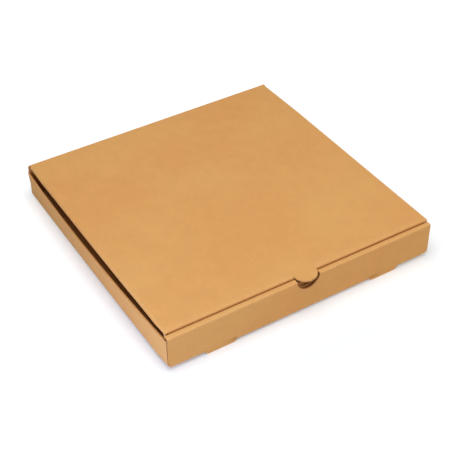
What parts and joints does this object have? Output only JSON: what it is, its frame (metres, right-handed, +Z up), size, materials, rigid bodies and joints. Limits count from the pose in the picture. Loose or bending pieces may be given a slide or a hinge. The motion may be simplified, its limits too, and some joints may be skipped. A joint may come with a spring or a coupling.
{
  "type": "pizza box",
  "caption": "Flat square takeaway box in plain brown corrugated board, folded from one blank, with a rolled front wall, a thumb notch and a lid that swings up on its rear crease.",
  "frame": {"origin": "on the ground, below the middle of the outline seen from above, thumb tongue included", "axes": "+Z up, -Y towards the front wall with the thumb notch, +X to the right seen from the front"},
  "size_m": [0.3401, 0.3398, 0.0465],
  "materials": {
    "board": "matte"
  },
  "bodies": {
    "tray": {"tray": "board"},
    "lid": {"lid": "board"}
  },
  "joints": [
    {"name": "lid_hinge", "type": "hinge", "parent": "tray", "child": "lid", "pos_m": [0, 0.16915, 0.0457], "axis": [-1, 0, 0], "range_deg": [0, 180]}
  ]
}
